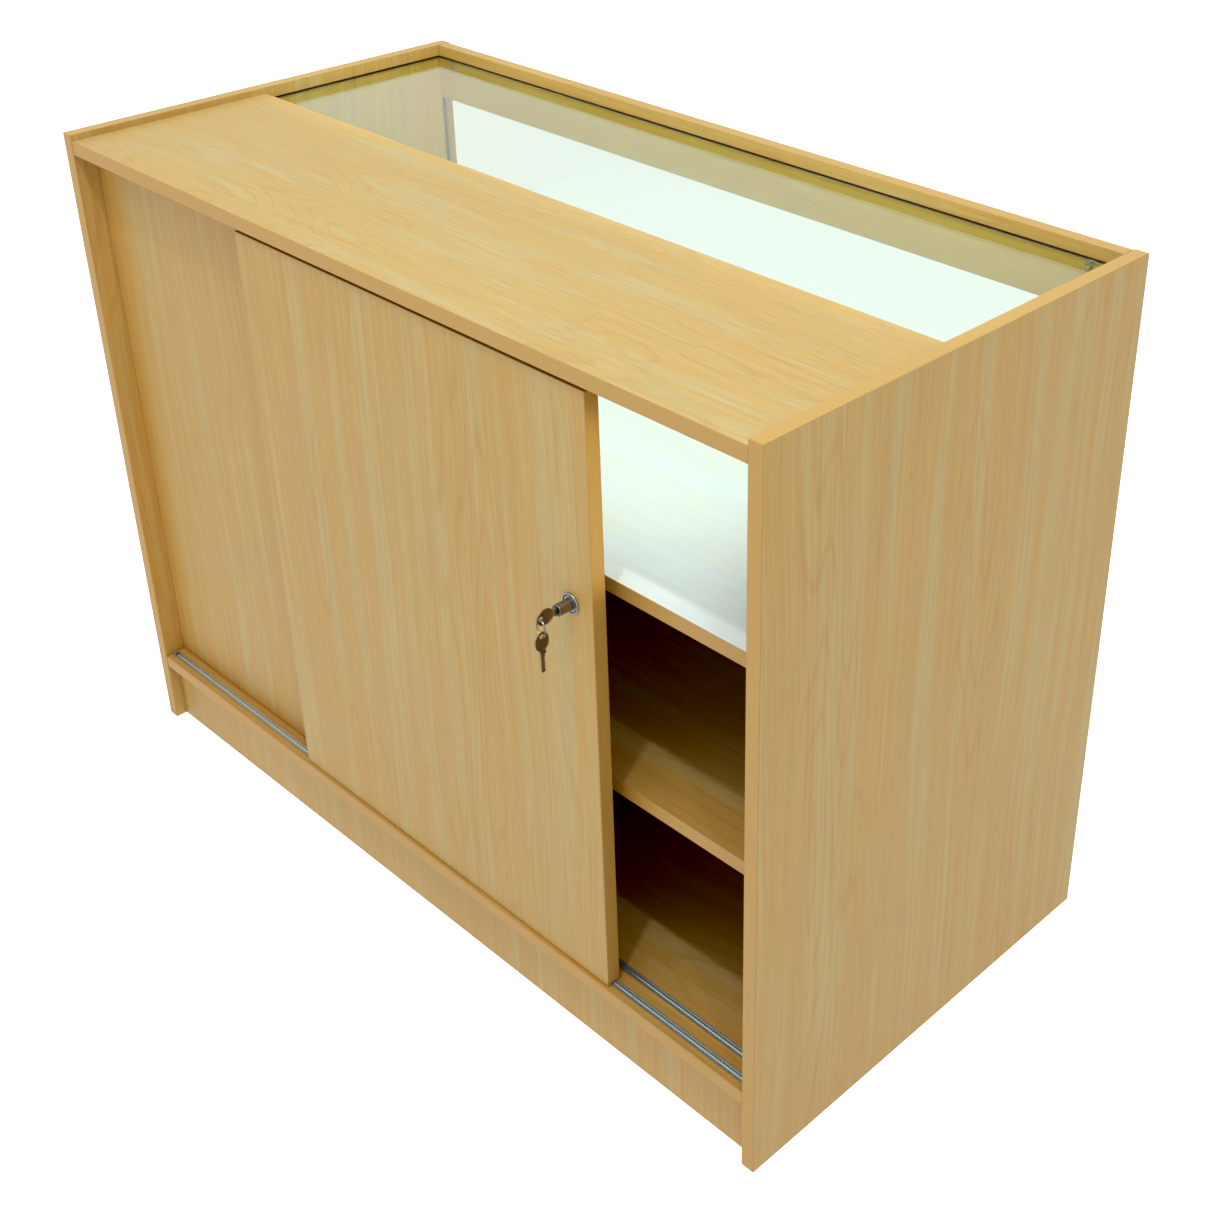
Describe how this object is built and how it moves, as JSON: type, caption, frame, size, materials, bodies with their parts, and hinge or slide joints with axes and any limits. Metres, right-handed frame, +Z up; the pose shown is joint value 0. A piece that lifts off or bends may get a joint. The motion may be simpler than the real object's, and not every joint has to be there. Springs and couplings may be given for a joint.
{
  "type": "shop display counter",
  "caption": "Floor-standing shop display counter with a half timber, half glass top, a glass window, shelves and lockable sliding staff doors.",
  "frame": {"origin": "on the floor under the middle of the counter, at the centre of the support board's foot", "axes": "+Z up, X along the counter, -Y towards the staff side with the sliding doors, +Y towards the customers' window"},
  "size_m": [1.2, 0.6453, 0.9],
  "materials": {
    "maple_laminate": "satin woodgrain melamine laminate, grain upright",
    "maple_top_laminate": "satin woodgrain melamine laminate, grain along the counter",
    "glass": "clear float glass with arrissed edges",
    "aluminium": "mill-finish extrusion",
    "brown_plastic": "extruded dark brown plastic",
    "white_plastic": "moulded white plastic",
    "clear_plastic": "moulded translucent plastic",
    "chrome": "polished chrome plate",
    "steel": "bright zinc-plated steel",
    "nickel_plate": "worn nickel plate",
    "beech": "fluted beech dowel"
  },
  "bodies": {
    "carcass": {"base_dowel_left_customer": "beech", "base_dowel_left_staff": "beech", "base_dowel_right_customer": "beech", "base_dowel_right_staff": "beech", "bottom_board": "maple_laminate", "bottom_track_inner": "aluminium", "bottom_track_outer": "aluminium", "centre_support": "maple_laminate", "display_shelf": "maple_laminate", "end_panel_left": "maple_laminate", "end_panel_right": "maple_laminate", "front_panel": "maple_laminate", "front_rail": "maple_laminate", "glass_support_left": "clear_plastic", "glass_support_right": "clear_plastic", "glass_top": "glass", "plinth_customer": "maple_laminate", "plinth_staff": "maple_laminate", "shelf_pin_left_customer": "steel", "shelf_pin_left_staff": "steel", "shelf_pin_right_customer": "steel", "shelf_pin_right_staff": "steel", "storage_shelf": "maple_laminate", "support_screw_left": "steel", "support_screw_right": "steel", "timber_top": "maple_top_laminate", "top_dowel_left_customer": "beech", "top_dowel_left_staff": "beech", "top_dowel_right_customer": "beech", "top_dowel_right_staff": "beech", "top_guide_track": "brown_plastic", "window_glass": "glass"},
    "outer_door": {"lock_housing": "chrome", "lock_nut": "steel", "outer_door": "maple_laminate", "outer_door_guide_left": "white_plastic", "outer_door_guide_right": "white_plastic", "outer_door_left_roller_axle": "steel", "outer_door_left_roller_housing": "white_plastic", "outer_door_right_roller_axle": "steel", "outer_door_right_roller_housing": "white_plastic"},
    "inner_door": {"inner_door": "maple_laminate", "inner_door_guide_left": "white_plastic", "inner_door_guide_right": "white_plastic", "inner_door_left_roller_axle": "steel", "inner_door_left_roller_housing": "white_plastic", "inner_door_right_roller_axle": "steel", "inner_door_right_roller_housing": "white_plastic"},
    "lock_barrel": {"lock_barrel": "chrome", "lock_bolt": "steel"},
    "key": {"lock_core": "steel", "key_in_lock": "nickel_plate"},
    "key_ring": {"key_ring": "steel"},
    "spare_key": {"spare_key": "nickel_plate"},
    "inner_door_left_wheel": {"inner_door_left_wheel": "white_plastic"},
    "inner_door_right_wheel": {"inner_door_right_wheel": "white_plastic"},
    "outer_door_left_wheel": {"outer_door_left_wheel": "white_plastic"},
    "outer_door_right_wheel": {"outer_door_right_wheel": "white_plastic"}
  },
  "joints": [
    {"name": "outer_door_slide", "type": "slide", "parent": "carcass", "child": "outer_door", "axis": [1, 0, 0], "range_m": [-0.356, 0.214]},
    {"name": "inner_door_slide", "type": "slide", "parent": "carcass", "child": "inner_door", "axis": [1, 0, 0], "range_m": [0, 0.57]},
    {"name": "lock_push", "type": "slide", "parent": "outer_door", "child": "lock_barrel", "axis": [0, 1, 0], "range_m": [0, 0.013], "stiffness_N_per_m": 250},
    {"name": "key_turn", "type": "hinge", "parent": "lock_barrel", "child": "key", "pos_m": [0.335, -0.315, 0.6185], "axis": [0, 1, 0], "range_deg": [0, 45]},
    {"name": "key_ring_swing", "type": "hinge", "parent": "key", "child": "key_ring", "pos_m": [0.335, -0.3363, 0.6185], "axis": [0, 1, 0], "range_deg": [-45, 0]},
    {"name": "spare_key_swing", "type": "hinge", "parent": "key_ring", "child": "spare_key", "pos_m": [0.335, -0.3363, 0.5981], "axis": [1, 0, 0], "range_deg": [-60, 25]},
    {"name": "outer_door_left_wheel_spin", "type": "hinge", "parent": "outer_door", "child": "outer_door_left_wheel", "pos_m": [-0.1455, -0.286, 0.1241], "axis": [0, 1, 0], "continuous": true},
    {"name": "outer_door_right_wheel_spin", "type": "hinge", "parent": "outer_door", "child": "outer_door_right_wheel", "pos_m": [0.2875, -0.286, 0.1241], "axis": [0, 1, 0], "continuous": true},
    {"name": "inner_door_left_wheel_spin", "type": "hinge", "parent": "inner_door", "child": "inner_door_left_wheel", "pos_m": [-0.5015, -0.261, 0.1241], "axis": [0, 1, 0], "continuous": true},
    {"name": "inner_door_right_wheel_spin", "type": "hinge", "parent": "inner_door", "child": "inner_door_right_wheel", "pos_m": [-0.0685, -0.261, 0.1241], "axis": [0, 1, 0], "continuous": true}
  ],
  "couplings": [
    {"joint": "key_ring_swing", "follows": "key_turn", "ratio": -1},
    {"joint": "outer_door_left_wheel_spin", "follows": "outer_door_slide", "rad_per_m": 90.909},
    {"joint": "outer_door_right_wheel_spin", "follows": "outer_door_slide", "rad_per_m": 90.909},
    {"joint": "inner_door_left_wheel_spin", "follows": "inner_door_slide", "rad_per_m": 90.909},
    {"joint": "inner_door_right_wheel_spin", "follows": "inner_door_slide", "rad_per_m": 90.909}
  ]
}
